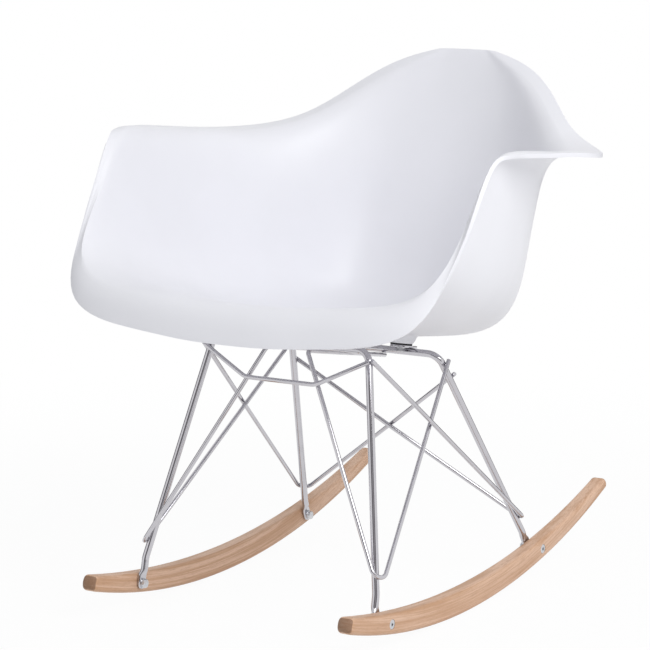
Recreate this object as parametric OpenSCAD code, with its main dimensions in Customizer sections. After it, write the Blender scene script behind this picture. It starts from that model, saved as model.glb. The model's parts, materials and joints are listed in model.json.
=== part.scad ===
// Rocking armchair: a moulded bucket shell on a bent wire frame with two wooden rockers.
// X is the width, the sitter looks along -Y, +Z is up and the rockers rest on z = 0.

/* [Shell] */
// Width over the rims of the two arms
shell_w = 624; // [560:2:760]
// Height of the crest of the back above the floor
shell_h = 661; // [600:1:800]
// Thickness of the moulded wall
shell_t = 5; // [4:0.5:7]
// Diameter of one moulded boss under the seat
boss_d = 34; // [30:1:40]

/* [Frame] */
// Diameter of the leg rods
leg_d = 9; // [7:0.1:11]
// Diameter of the brace wires
wire_d = 5.5; // [4:0.1:7]
// Height of the front cross bar
front_bar_z = 334; // [322:1:338]
// Height of the rear cross bar
rear_bar_z = 301; // [290:1:304]
// Distance between the two cross bars
bar_gap = 176; // [150:2:200]
// Width of the front frame at its top corners
front_bar_w = 218; // [190:2:262]
// Width of the rear frame at its top corners
rear_bar_w = 213; // [190:1:260]
// Bend radius of the leg rods at their top corners
leg_bend = 18; // [14:1:26]
// Bend radius of the braces where they turn at the legs
wire_bend = 11; // [8:1:14]
// Distance between the two stringers under the cross bars
stringer_gap = 57; // [44:1:80]
// Distance between the left and the right seat screws
mount_w = 120; // [96:2:150]

/* [Rockers] */
// Length of a rocker
rocker_l = 688; // [620:2:830]
// Thickness of a rocker
rocker_t = 21; // [17:0.2:26]
// Distance between the outer faces of the two rockers
rocker_span = 378; // [340:2:456]
// Height of a rocker at its middle
rocker_h = 30; // [26:1:40]
// Radius of the running edge
run_r = 975; // [900:5:1200]
// Radius of the top edge
top_r = 1300; // [1200:10:1800]
// Radius of the corners of a rocker, seen from above
nose_r = 9; // [4:0.5:9]

/* [Fasteners] */
// Diameter of the rocker bolts and the seat screws
bolt_d = 6; // [5:0.1:7.5]
// Thickness of the pressed ends of the leg rods
foot_t = 4.5; // [3.5:0.1:6]
// Thickness of the seat plates
plate_t = 3; // [2:0.5:4]
// Thickness of the rubber pads
pad_t = 6; // [4:0.5:7]
// Wall of the sleeve nuts
sleeve_wall = 1.3; // [1:0.1:2]
// Head diameter of the sleeve nuts
sleeve_head_d = 12; // [11.5:0.5:15]
// Gap around a part that slides into another
fit = 0.15; // [0.1:0.05:0.3]
// Gap that the weld fills between two rods, or a rod and a plate
seam = 0.2; // [0.1:0.05:0.3]

/* [Hidden] */
PLACES = [for (end = ["front", "rear"]) for (side = ["left", "right"]) str(end, "_", side)];
HARDWARE = ["insert", "pad", "seat_plate", "seat_washer", "seat_screw",
    "rocker_bolt", "rocker_washer", "sleeve"];

// Lowest place of a rocker, in front of its middle
run_y = -53;
// Cross bars
front_bar_y = -157;
rear_bar_y = front_bar_y + bar_gap;
// Rocker bolts: place along the rocker, and where the rod above each one bends inward
front_bolt_y = -238;
rear_bolt_y = 153;
front_knee_y = -232;
front_knee_z = 61;
rear_knee_y = 144;
rear_knee_z = 55;
knee_bend = 30;

// Stations of the shell, from the front lip over the seat to the crest of the back:
// seat line y, z; crest of the side y, z; half width of the side; rim x, y, z;
// how far the foot of the side stands in; reach of its lower corner; dish; set-back of the front edge
stations = [
    [-302, 350, -160, 584, 263, 283, -118, 580, 4, 130, 14, 26],
    [-296, 402, -138, 580, 259, 294, -86, 576, 6, 130, 10, 24],
    [-240, 396, -98, 576, 257, 306, -44, 571, 8, 130, 8, 12],
    [-130, 356, -45, 570, 254, 313, 0, 566, 12, 130, 8, 3],
    [-10, 328, 12, 565, 247, 313, 38, 561, 22, 140, 8, 0],
    [100, 304, 62, 560, 228, 305, 80, 556, 34, 150, 6, 0],
    [195, 312, 115, 556, 196, 280, 130, 552, 50, 140, 4, 0],
    [229, 425, 165, 556, 172, 246, 172, 553, 56, 120, 4, 0],
    [245, 515, 196, 568, 152, 208, 198, 563, 56, 110, 2, 0],
    [268, 590, 236, 606, 122, 158, 238, 603, 46, 90, 0, 0],
    [284, 640, 270, 644, 78, 98, 271, 643, 26, 60, 0, 0],
    [289, 661, 286, 661, 28, 36, 286, 661, 8, 30, 0, 0]];
// Stations are drawn at these sizes
drawn_w = 624;
drawn_h = 661;
// Height from which a taller shell stretches
seat_base = 340;
// Reach of the roll between a side and its rim
roll = 52;

function unit(v) = v / norm(v);

// Uniform cubic B-spline through the ends of a control polygon, at 0 to 1
function weights(t) =
    [pow(1 - t, 3), 3 * t * t * t - 6 * t * t + 4, -3 * t * t * t + 3 * t * t + 3 * t + 1, t * t * t] / 6;
function extended(p) = let(n = len(p)) concat([2 * p[0] - p[1]], p, [2 * p[n - 1] - p[n - 2]]);
function spline(p, s) =
    let(q = extended(p), n = len(p) - 1, i = min(floor(s * n), n - 1), w = weights(s * n - i))
    w[0] * q[i] + w[1] * q[i + 1] + w[2] * q[i + 2] + w[3] * q[i + 3];

// Control polygon of one station: seat, lower corner, side, roll and rim
function section(r) =
    let(seat = [0, r[0], r[1]], crest = [0, r[2], r[3]], rim = [r[5], r[6], r[7]])
    let(h = norm(crest - seat), up = unit(crest - seat), x = [1, 0, 0], back = [0, r[11], 0])
    let(side = r[4], foot = r[4] - r[8], reach = min(r[9], 0.6 * foot), q = min(roll, 0.35 * h))
    let(out = rim - crest - side * x)
    [seat,
     seat + x * 0.5 * (foot - reach),
     seat + x * (foot - reach) + up * r[10],
     seat + x * foot + up * 2 * r[10],
     seat + x * (side - 0.7 * r[8]) + up * min(r[9], 0.5 * h) + back,
     seat + x * (side - 0.25 * r[8]) + up * (h - q) + 0.4 * back,
     crest + x * side,
     crest + x * side + [0.45 * out[0], 0.45 * out[1], 0.3 * out[2]],
     rim];

// A point of the inner face: v runs from the lip to the crest of the back, u from the middle to the rim
function shell_point(v, u) =
    let(p = spline([for (r = stations) spline(section(r), abs(u))], v))
    let(rise = max(0, p[2] - seat_base))
    [sign(u) * p[0] * shell_w / drawn_w, p[1], p[2] + rise * (shell_h - drawn_h) / (drawn_h - seat_base)];

shell_nv = 40;
shell_nu = 26;

function neighbour(g, j, i) = g[max(0, min(j, len(g) - 1))][max(0, min(i, len(g[0]) - 1))];
function outward(g, j, i) =
    let(across = neighbour(g, j, i + 1) - neighbour(g, j, i - 1))
    unit(cross(across, neighbour(g, j - 1, i) - neighbour(g, j + 1, i)));

module seat_shell() {
    m = 2 * shell_nu + 1;
    n = shell_nv + 1;
    inner = [for (j = [0:n - 1]) [for (i = [0:m - 1]) shell_point(j / shell_nv, i / shell_nu - 1)]];
    outer = [for (j = [0:n - 1]) [for (i = [0:m - 1]) inner[j][i] + shell_t * outward(inner, j, i)]];
    points = concat([for (row = inner) each row], [for (row = outer) each row]);
    ring = [for (i = [0:m - 1]) i, for (j = [1:n - 1]) j * m + m - 1,
            for (i = [m - 2:-1:0]) (n - 1) * m + i, for (j = [n - 2:-1:1]) j * m];
    // The edge is rounded: its middle line stands out from the last row that it closes
    function inward(k) = max(1, min(floor(k / m), n - 2)) * m + max(1, min(k % m, m - 2));
    edge = [for (k = ring)
        (points[k] + points[n * m + k]) / 2 + unit(points[k] - points[inward(k)]) * shell_t * 0.4];
    faces = [
        for (j = [0:n - 2]) for (i = [0:m - 2]) let(a = j * m + i)
            each [[a, a + m + 1, a + 1], [a, a + m, a + m + 1]],
        for (j = [0:n - 2]) for (i = [0:m - 2]) let(a = n * m + j * m + i)
            each [[a, a + 1, a + m + 1], [a, a + m + 1, a + m]],
        for (k = [0:len(ring) - 1]) let(l = (k + 1) % len(ring), e = 2 * n * m) each [
            [ring[k], ring[l], e + k], [ring[l], e + l, e + k],
            [e + k, e + l, n * m + ring[k]], [e + l, n * m + ring[l], n * m + ring[k]]]];
    color("whitesmoke") difference() {
        union() {
            polyhedron(points = concat(points, edge), faces = faces);
            each_mount() translate([0, 0, mount_t]) cylinder(d = boss_d, h = boss_h($front), $fn = 64);
        }
        each_mount() translate([0, 0, mount_t - 1])
            cylinder(d = insert_d + 2 * fit, h = insert_l + fit + 1, $fn = 48);
    }
}

// Seat mounts, on a line that slopes down to the rear like the seat
recline = atan((front_bar_z - rear_bar_z) / bar_gap);
slope = [0, cos(recline), -sin(recline)];
square_up = [0, sin(recline), cos(recline)];
head_af = bolt_d * 10 / 6;
head_h = bolt_d * 2 / 3;
washer_d = bolt_d * 2;
washer_t = 1.2;
screw_in = leg_d / 2 + washer_d / 2 + 1.5;
mount_t = plate_t + pad_t;
pad_d = boss_d - 4;
plate_w = pad_d;
insert_l = 6;
insert_d = bolt_d + 4;

function bar_centre(front) = front ? [0, front_bar_y, front_bar_z] : [0, rear_bar_y, rear_bar_z];

// Axis of a screw: from the top of its plate, square to the slope
function screw_foot(front) =
    [mount_w / 2, 0, 0] + bar_centre(front) + slope * (front ? screw_in : -screw_in)
    + square_up * (leg_d / 2 + seam);

// Height of the inner face of the shell over a place of the seat
function seat_z(x, y, v = 0.4, u = 0.3, n = 6) =
    let(p = shell_point(v, u), d = 0.005)
    n == 0 ? p[2] : seat_z(x, y, v + d * (y - p[1]) / (shell_point(v + d, u)[1] - p[1]),
        u + d * (x - p[0]) / (shell_point(v, u + d)[0] - p[0]), n - 1);

// Height of a boss, from its pad to the middle of the wall
function boss_h(front, n = 3, h = 8) =
    let(p = screw_foot(front) + square_up * (mount_t + h))
    n == 0 ? h : boss_h(front, n - 1, h + (seat_z(p[0], p[1]) - shell_t / 2 - p[2]) / square_up[2]);

// Frame of a seat mount: z = 0 is the top of the cross bar and +Y points to the middle of the seat
module at_mount(side, front) {
    $front = front;
    foot = screw_foot(front);
    translate([side * foot[0], foot[1], foot[2]]) rotate([-recline, 0, 0])
        mirror([0, front ? 0 : 1, 0]) children();
}
module each_mount() {
    for (side = [-1, 1]) for (front = [false, true]) at_mount(side, front) children();
}
module hex_head() {
    translate([0, 0, -head_h]) cylinder(d = head_af / cos(30), h = head_h, $fn = 6);
}
module washer() {
    color("silver") translate([0, 0, -washer_t]) difference() {
        cylinder(d = washer_d, h = washer_t, $fn = 48);
        translate([0, 0, -1]) cylinder(d = bolt_d + 4 * fit, h = washer_t + 2, $fn = 48);
    }
}
module insert() {
    color("goldenrod") translate([0, 0, mount_t]) difference() {
        cylinder(d = insert_d, h = insert_l, $fn = 48);
        translate([0, 0, -1]) cylinder(d = bolt_d + 2 * fit, h = insert_l, $fn = 48);
    }
}
module pad() {
    color("dimgray") translate([0, 0, plate_t]) difference() {
        cylinder(d = pad_d, h = pad_t, $fn = 64);
        translate([0, 0, -1]) cylinder(d = bolt_d + 4 * fit, h = pad_t + 2, $fn = 48);
    }
}
module seat_plate() {
    back = screw_in + leg_d / 2;
    color("silver") difference() {
        union() {
            cylinder(d = plate_w, h = plate_t, $fn = 64);
            translate([-plate_w / 2, -back, 0]) cube([plate_w, back, plate_t]);
        }
        translate([0, 0, -1]) cylinder(d = bolt_d + 4 * fit, h = plate_t + 2, $fn = 48);
    }
}
module seat_screw() {
    color("gray") translate([0, 0, -washer_t]) {
        hex_head();
        cylinder(d = bolt_d, h = washer_t + mount_t + insert_l - 2, $fn = 48);
    }
}

// Sweep of a round rod along a path with rounded corners
function corner_arc(a, b, c, r, n) =
    let(u = unit(a - b), v = unit(c - b), half = acos(u * v) / 2, turn = 180 - 2 * half)
    let(mid = b + unit(u + v) * r / sin(half), t = r / tan(half))
    let(from = b + u * t - mid, to = b + v * t - mid)
    [for (i = [0:n]) mid + (from * sin(turn - i * turn / n) + to * sin(i * turn / n)) / sin(turn)];
function rounded(p, r, n) = [p[0],
    for (i = [1:len(p) - 2]) each corner_arc(p[i - 1], p[i], p[i + 1], r[i - 1], n[i - 1]), p[len(p) - 1]];
function step_dir(p, i) = i < 0 || i > len(p) - 2 ? [0, 0, 0] : unit(p[i + 1] - p[i]);
function square_to(m, t) = unit(m - t * (m * t));
function carried(t) = [for (i = 0, m = square_to([1, 0, 0], t[0]); i < len(t);
    i = i + 1, m = square_to(m, t[min(i, len(t) - 1)])) m];

// Rings of a sweep: centre, direction, half thickness to which the round section is pressed, and widening
function rings(p) = [for (i = [0:len(p) - 1]) [p[i], unit(step_dir(p, i - 1) + step_dir(p, i)), 100, 1]];
module swept(rings, d, sides) {
    m = [for (k = carried([for (q = rings) q[1]])) abs(k[0]) > 0.9999 ? [sign(k[0]), 0, 0] : k];
    r = d / 2 / cos(90 / sides);
    points = [for (i = [0:len(rings) - 1]) for (k = [0:sides - 1])
        let(q = rings[i], a = 360 * (k + 0.5) / sides, flat = max(-q[2], min(q[2], r * cos(a))))
        q[0] + m[i] * flat + cross(q[1], m[i]) * r * q[3] * sin(a)];
    last = (len(rings) - 1) * sides;
    polyhedron(points = points, faces = [
        [for (k = [0:sides - 1]) k],
        [for (k = [sides - 1:-1:0]) last + k],
        for (i = [0:len(rings) - 2]) for (k = [0:sides - 1])
            let(a = i * sides + k, b = i * sides + (k + 1) % sides)
            each [[a, a + sides, b + sides], [a, b + sides, b]]]);
}
module rod(p, d, sides) {
    swept(rings(p), d, sides);
}

// Legs: two bent rods, each a cross bar with a leg at either end
rocker_x = rocker_span / 2 - rocker_t;
leg_x = rocker_x - leg_d / 2 - seam;
// Pressed ends of the rods, as wide as the metal of the rod allows
foot_w = 3.14 * leg_d * leg_d / 4 / foot_t;
foot_flat = 9;
foot_rise = 18;
function mirrored(p) = [-p[0], p[1], p[2]];
function knee(front) = front ? [leg_x, front_knee_y, front_knee_z] : [leg_x, rear_knee_y, rear_knee_z];
function corner(front) = bar_centre(front) + [(front ? front_bar_w : rear_bar_w) / 2, 0, 0];
function bolt(front) = let(y = front ? front_bolt_y : rear_bolt_y) [leg_x, y, (run_z(y) + top_z(y)) / 2];
function foot_dir(front) = unit(knee(front) - bolt(front));
function leg_dir(front) = unit(corner(front) - knee(front));
function on_line(p, dir, z) = p + dir * (z - p[2]) / dir[2];
function on_leg(front, z) = on_line(knee(front), leg_dir(front), z);
// Rings of a pressed end, from its round tip to the full rod
function foot_rings(front) =
    let(p = bolt(front), dir = foot_dir(front), wide = foot_w / leg_d, x = leg_x + leg_d / 2 - foot_t / 2)
    [for (a = [15, 40, 65, 90]) [[x, p[1], p[2]] - dir * cos(a) * foot_w / 2, dir, foot_t / 2, wide * sin(a)],
     [[x, p[1], p[2]] + dir * foot_flat, dir, foot_t / 2, wide],
     [p + dir * foot_rise, dir, 100, 1]];
function reversed(q) =
    [for (i = [len(q) - 1:-1:0]) [mirrored(q[i][0]), -mirrored(q[i][1]), q[i][2], q[i][3]]];
module leg_frame(front) {
    foot = foot_rings(front);
    half = [bolt(front) + foot_dir(front) * foot_rise, knee(front), corner(front)];
    path = concat(half, [for (i = [2:-1:0]) mirrored(half[i])]);
    bends = [knee_bend, leg_bend, leg_bend, knee_bend];
    bent = rings(rounded(path, bends, [3, 6, 6, 3]));
    color("lightsteelblue") difference() {
        swept(concat(foot, [for (i = [1:len(bent) - 2]) bent[i]], reversed(foot)), leg_d, 16);
        for (side = [-1, 1]) at_bolt(side, front)
            translate([0, 0, -2 * foot_t]) cylinder(d = bolt_d + 2 * fit, h = 3 * foot_t, $fn = 48);
    }
}

// Braces: each wire lies against the rods and the wires that it crosses
leg_touch = (leg_d + wire_d) / 2 + seam;
wire_touch = wire_d + seam;
overrun = 6;
stringer_top = 288;
front_turn_z = 80;
rear_turn_z = 73;
brace_top = 319;
cross_top = 268;
dip_top = 319.5;
dip_z = 290;
sway_bend = 60;
dip_bend = 25;

// A point beside p, at a distance square to the two directions and on the side of a third
function beside(p, a, b, side, distance) =
    let(n = unit(cross(a, b))) p + n * distance * (n * side > 0 ? 1 : -1);
// The corner whose rounding has its middle at mid
function corner_for(a, c, mid, r, guess, n = 8) =
    let(u = unit(a - guess), v = unit(c - guess))
    let(next = mid - unit(u + v) * r * (1 / sin(acos(u * v) / 2) - 1))
    n == 0 ? guess : corner_for(a, c, mid, r, next, n - 1);
// The point of line ab that is nearest to line cd
function crossing(a, b, c, d) =
    let(u = b - a, v = d - c, n = cross(u, v)) a + u * (cross(c - a, v) * n) / (n * n);

left = [1, 0, 0];
back = [0, 1, 0];
under_bar = -square_up * leg_touch;
stringer_start = [stringer_gap / 2, 0, 0] + bar_centre(false) + under_bar + slope * overrun;
stringer_turn = [stringer_gap / 2, 0, 0] + bar_centre(true) + under_bar - slope * overrun;
front_turn_leg = on_leg(true, front_turn_z);
stringer_end_leg = on_leg(false, stringer_top);
stringer_touch = beside(stringer_end_leg, leg_dir(false), stringer_end_leg - front_turn_leg, left, leg_touch);
front_turn_mid = beside(front_turn_leg, leg_dir(true),
    unit(stringer_touch - front_turn_leg) - unit(stringer_turn - front_turn_leg), left, leg_touch);
front_turn = corner_for(stringer_turn, stringer_touch, front_turn_mid, wire_bend, front_turn_mid - [0, 0, 5]);
stringer_end = stringer_touch + unit(stringer_touch - front_turn) * overrun;
module front_brace(side) {
    path = [stringer_start, stringer_turn, front_turn, stringer_end];
    color("lightsteelblue") mirror([side > 0 ? 0 : 1, 0, 0])
        rod(rounded(path, [wire_bend * 0.6, wire_bend], [5, 10]), wire_d, 12);
}

brace_start_leg = on_leg(true, brace_top);
rear_turn_leg = on_leg(false, rear_turn_z);
brace_touch = beside(brace_start_leg, leg_dir(true), rear_turn_leg - brace_start_leg, left, leg_touch);
cross_end_leg = mirrored(on_leg(false, cross_top));
cross_touch = beside(cross_end_leg, mirrored(leg_dir(false)), cross_end_leg - rear_turn_leg, back, leg_touch);
rear_turn_mid = beside(rear_turn_leg, leg_dir(false),
    unit(cross_touch - rear_turn_leg) - unit(brace_touch - rear_turn_leg), left, leg_touch);
rear_turn = corner_for(brace_touch, cross_touch, rear_turn_mid, wire_bend, rear_turn_mid - [0, 0, 5]);
sway = beside(crossing(front_turn, stringer_end, brace_touch, rear_turn),
    stringer_end - front_turn, rear_turn - brace_touch, left, wire_touch + 0.3);
brace_start = brace_touch + unit(brace_touch - sway) * overrun;
middle = rear_turn + (cross_touch - rear_turn) * rear_turn[0] / (rear_turn[0] - cross_touch[0]);
cross_end = cross_touch + unit(cross_touch - middle) * overrun;
module rear_brace(side) {
    path = [brace_start, sway, rear_turn, middle - side * back * (wire_touch / 2 + 0.3), cross_end];
    color("lightsteelblue") mirror([side > 0 ? 0 : 1, 0, 0])
        rod(rounded(path, [sway_bend, wire_bend, sway_bend], [2, 10, 2]), wire_d, 12);
}

stringer_fall = unit(front_turn - stringer_turn);
dip_mid = beside(on_line(stringer_turn, stringer_fall, dip_z), stringer_fall, left, -back, wire_touch + 0.3);
dip_end_leg = on_leg(true, dip_top);
dip_touch = beside(dip_end_leg, leg_dir(true), dip_end_leg - dip_mid, -back, leg_touch);
dip_turn = corner_for(dip_touch, dip_mid - 1000 * left, dip_mid, dip_bend, dip_mid);
dip_end = dip_touch + unit(dip_touch - dip_turn) * overrun / 2;
module cross_wire() {
    path = [dip_end, dip_turn, mirrored(dip_turn), mirrored(dip_end)];
    color("lightsteelblue") rod(rounded(path, [dip_bend, dip_bend], [4, 4]), wire_d, 12);
}

// Rockers: both edges are arcs about the same vertical line
function run_z(y) = run_r - sqrt(run_r * run_r - pow(y - run_y, 2));
function top_z(y) = rocker_h + top_r - sqrt(top_r * top_r - pow(y - run_y, 2));
// The end of the profile at an angle from that line: its lower and its upper corner
function end_low(a) = [run_y + run_r * sin(a), run_r - run_r * cos(a)];
function end_high(a) =
    let(e = top_r + rocker_h - run_r, s = -e * cos(a) + sqrt(top_r * top_r - pow(e * sin(a), 2)))
    [run_y + s * sin(a), run_r - s * cos(a)];
function end_middle(a) = (end_low(a) + end_high(a)) / 2;
// The round of an end is a little larger than the profile is high, so it meets both edges squarely
function end_r(a) = norm(end_high(a) - end_low(a)) * 0.52;
// The angle at which the rounded end reaches the length of the rocker
function end_angle(y, n = 8, a = 0) =
    let(reach = end_middle(a)[0] + sign(y) * end_r(a))
    n == 0 ? a : end_angle(y, n - 1, asin(max(-1, min(1, sin(a) + (y - reach) / run_r))));
module rocker_profile() {
    ends = [end_angle(-rocker_l / 2), end_angle(rocker_l / 2)];
    far = run_r * 1.2;
    difference() {
        intersection() {
            translate([run_y, run_r]) circle(run_r, $fn = 720);
            union() {
                polygon([[run_y, run_r], for (a = ends) [run_y + far * sin(a), run_r - far * cos(a)]]);
                for (a = ends) translate(end_middle(a)) circle(end_r(a), $fn = 64);
            }
        }
        translate([run_y, rocker_h + top_r]) circle(top_r, $fn = 720);
    }
}
module rocker_plan() {
    r = min(nose_r, rocker_t / 2 - 0.5);
    w = rocker_t / 2 - r;
    square([rocker_t, rocker_l - 2 * r], center = true);
    for (end = [-1, 1]) {
        square([2 * w, rocker_l], center = true);
        for (s = [-1, 1]) translate([s * w, end * (rocker_l / 2 - r)]) circle(r, $fn = 64);
    }
}
sleeve_head_t = 3;
sleeve_d = bolt_d + 2 * fit + 2 * sleeve_wall;
module rocker(side) {
    color("burlywood") difference() {
        translate([side * (rocker_x + rocker_t / 2), 0, 0]) intersection() {
            translate([-rocker_t / 2, 0, 0]) rotate([90, 0, 90]) linear_extrude(rocker_t) rocker_profile();
            translate([0, 0, -1]) linear_extrude(rocker_h + 100) rocker_plan();
        }
        for (front = [false, true]) at_bolt(side, front) {
            translate([0, 0, -1]) cylinder(d = sleeve_d + 2 * fit, h = rocker_t + 2, $fn = 48);
            translate([0, 0, rocker_t - sleeve_head_t - fit])
                cylinder(d = sleeve_head_d + 2 * fit, h = 2 * sleeve_head_t, $fn = 64);
        }
    }
}

// Rocker fixings: z = 0 is the inner face of the rocker and +Z points outward
module at_bolt(side, front) {
    p = bolt(front);
    translate([side * rocker_x, p[1], p[2]]) rotate([0, side * 90, 0]) children();
}
socket_af = 4;
module sleeve() {
    color("silver") difference() {
        union() {
            translate([0, 0, 1]) cylinder(d = sleeve_d, h = rocker_t - 2, $fn = 48);
            translate([0, 0, rocker_t - sleeve_head_t])
                cylinder(d = sleeve_head_d, h = sleeve_head_t, $fn = 64);
        }
        cylinder(d = bolt_d + 2 * fit, h = rocker_t - 2 * sleeve_head_t, $fn = 48);
        translate([0, 0, rocker_t - sleeve_head_t + 0.5])
            cylinder(d = socket_af / cos(30), h = sleeve_head_t, $fn = 6);
    }
}
module rocker_washer() {
    translate([0, 0, -seam - foot_t]) washer();
}
module rocker_bolt() {
    color("gray") translate([0, 0, -seam - foot_t - washer_t]) {
        hex_head();
        cylinder(d = bolt_d, h = seam + foot_t + washer_t + rocker_t / 2, $fn = 48);
    }
}

seat_shell();
leg_frame(true);  // front_leg_frame
leg_frame(false);  // rear_leg_frame
front_brace(1);  // left_front_brace
front_brace(-1);  // right_front_brace
rear_brace(1);  // left_rear_brace
rear_brace(-1);  // right_rear_brace
cross_wire();
rocker(1);  // left_rocker
rocker(-1);  // right_rocker
for (front = [true, false]) for (side = [1, -1]) {
    place = str(front ? "front" : "rear", side > 0 ? "_left" : "_right");
    at_mount(side, front) insert();
    at_mount(side, front) pad();
    at_mount(side, front) seat_plate();
    at_mount(side, front) washer();
    at_mount(side, front) seat_screw();
    at_bolt(side, front) rocker_bolt();
    at_bolt(side, front) rocker_washer();
    at_bolt(side, front) sleeve();
}
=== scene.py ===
# Rocking armchair: a moulded bucket shell on a welded rod base with two wooden rockers.
# Sizes in the dictionaries are millimetres, angles are degrees. X is the width, the sitter looks along -Y.
import json
import math

import bmesh
import bpy
from mathutils import Matrix, Vector, kdtree


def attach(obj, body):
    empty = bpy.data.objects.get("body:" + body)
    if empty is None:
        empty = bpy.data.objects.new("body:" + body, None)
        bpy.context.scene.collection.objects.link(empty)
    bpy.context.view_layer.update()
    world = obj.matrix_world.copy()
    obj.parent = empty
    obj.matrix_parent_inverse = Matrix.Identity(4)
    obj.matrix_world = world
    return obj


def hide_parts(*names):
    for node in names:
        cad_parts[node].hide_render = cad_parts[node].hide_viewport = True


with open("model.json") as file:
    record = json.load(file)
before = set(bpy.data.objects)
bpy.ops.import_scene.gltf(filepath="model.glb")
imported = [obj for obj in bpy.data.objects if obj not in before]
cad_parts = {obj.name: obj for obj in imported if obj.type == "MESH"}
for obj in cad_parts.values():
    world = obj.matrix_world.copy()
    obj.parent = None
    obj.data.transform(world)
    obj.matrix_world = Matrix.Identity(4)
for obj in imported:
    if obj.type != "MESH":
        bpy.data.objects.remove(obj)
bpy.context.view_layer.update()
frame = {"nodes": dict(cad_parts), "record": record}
mm = 0.001


cameraSizes = {
    "place": (1741.1, -2977.6, 939.0),
    "azimuth": 31.0,
    "elevation": 10.0,
    "roll": 0.03,
    "lens": 154.9,
    "shift": (0.0026, 0.0009),
}


def placeCamera():
    turn = math.radians(cameraSizes["azimuth"])
    dip = math.radians(cameraSizes["elevation"])
    forward = Vector((-math.sin(turn) * math.cos(dip), math.cos(turn) * math.cos(dip), -math.sin(dip)))
    data = bpy.data.cameras.new("studioCamera")
    data.lens = cameraSizes["lens"]
    data.sensor_width = 36
    data.shift_x, data.shift_y = cameraSizes["shift"]
    data.clip_end = 100
    camera = bpy.data.objects.new("studioCamera", data)
    bpy.context.scene.collection.objects.link(camera)
    roll = Matrix.Rotation(math.radians(cameraSizes["roll"]), 4, "Z")
    camera.matrix_world = (Matrix.Translation(Vector(cameraSizes["place"]) * mm)
                           @ forward.to_track_quat("-Z", "Y").to_matrix().to_4x4() @ roll)
    bpy.context.scene.camera = camera
    bpy.context.scene.view_settings.view_transform = "Standard"


placeCamera()


# wire base: bars and knees are places (y, z); turns and tops are heights where wires meet the legs
frameSizes = {
    "rod": 9,
    "wire": 5.5,
    "sides": 28,
    "seam": 0.2,
    "frontBar": (-157, 334),
    "rearBar": (19, 301),
    "frontBarWidth": 218,
    "rearBarWidth": 213,
    "barBend": 18,
    "frontKnee": (-232, 61),
    "rearKnee": (144, 55),
    "kneeBend": 30,
    "frontBolt": -238,
    "rearBolt": 153,
    "footThick": 4.5,
    "footRise": 18,
    "footFlat": 9,
    "wireBend": 11,
    "stringerBend": 6.6,
    "stringerGap": 57,
    "stringerTop": 288,
    "frontTurn": 80,
    "rearTurn": 73,
    "braceTop": 319,
    "crossTop": 268,
    "swayBend": 60,
    "dipTop": 319.5,
    "dipLow": 290,
    "dipBend": 25,
    "overrun": 6,
    "crossGap": 0.3,
    "firstGuess": 5,
    "bendStep": 6,
    "endRound": 0.8,
    "endAngle": 70,
    "mountSpread": 120,
}
rockerSizes = {
    "thick": 21,
    "span": 378,
    "ends": (-333, 344),
    "lowest": -53,
    "runRadius": 975,
    "topRadius": 1300,
    "height": 30,
    "edge": 5,
    "edgeSteps": 6,
    "edgeShare": 0.48,
    "steps": 72,
    "noseSteps": 14,
    "tailDrop": 6.5,
    "tailAngle": 0.42,
    "noseNarrow": 0.91,
}


# shader maths: a wire is a socket that can be added, multiplied and so on
class Wire:
    def __init__(self, tree, socket=None):
        self.tree = tree
        self.socket = socket

    # makes any node: its type, its settings, then the values or wires of its sockets
    def node(self, kind, settings=None, sockets=None, output=0):
        made = self.tree.nodes.new(kind)
        for key, value in (settings or {}).items():
            setattr(made, key, value)
        for key, value in (sockets or {}).items():
            if isinstance(value, Wire):
                self.tree.links.new(value.socket, made.inputs[key])
            else:
                made.inputs[key].default_value = value
        return Wire(self.tree, made.outputs[output] if made.outputs else None)

    def maths(self, operation, first, second=0.0):
        return self.node("ShaderNodeMath", {"operation": operation}, {0: first, 1: second})

    def __add__(self, other):
        return self.maths("ADD", self, other)

    def __radd__(self, other):
        return self.maths("ADD", other, self)

    def __sub__(self, other):
        return self.maths("SUBTRACT", self, other)

    def __rsub__(self, other):
        return self.maths("SUBTRACT", other, self)

    def __mul__(self, other):
        return self.maths("MULTIPLY", self, other)

    def __rmul__(self, other):
        return self.maths("MULTIPLY", other, self)

    def vectorMaths(self, operation, second=None, output="Vector"):
        sockets = {0: self} if second is None else {0: self, 1: second}
        return self.node("ShaderNodeVectorMath", {"operation": operation}, sockets, output)

    # 0 below low, 1 above high, smooth between
    def rise(self, low, high):
        return self.node("ShaderNodeMapRange", {"interpolation_type": "SMOOTHSTEP"},
                         {0: self, 1: low, 2: high})

    # this wire as the share of the second shade over the first; 6, 7 and 2 are the node's colour sockets
    def between(self, *shades):
        first, second = (shade if isinstance(shade, Wire) else (*shade, 1) for shade in shades)
        return self.node("ShaderNodeMix", {"data_type": "RGBA"}, {0: self, 6: first, 7: second}, output=2)

    def stretched(self, size):
        return self.node("ShaderNodeMapping", None, {0: self, 3: size})

    def noise(self, scale, detail=2.0, roughness=0.5, distortion=0.0):
        return self.node("ShaderNodeTexNoise", None, {"Vector": self, "Scale": scale, "Detail": detail,
                                                      "Roughness": roughness, "Distortion": distortion})

    def bumped(self, height, depth, after=None):
        sockets = {"Height": height, "Strength": 1.0, "Distance": depth}
        if after is not None:
            sockets["Normal"] = after
        return self.node("ShaderNodeBump", None, sockets)


def startMaterial(name):
    material = bpy.data.materials.new(name)
    material.use_nodes = True
    material.node_tree.nodes.clear()
    sheet = Wire(material.node_tree)
    place = sheet.node("ShaderNodeTexCoord", output="Object")
    return material, sheet, place


def endMaterial(sheet, **sockets):
    surface = sheet.node("ShaderNodeBsdfPrincipled", None,
                         {spoken(key): (*value, 1) if isinstance(value, tuple) else value
                          for key, value in sockets.items()})
    sheet.node("ShaderNodeOutputMaterial", None, {"Surface": surface})


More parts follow.
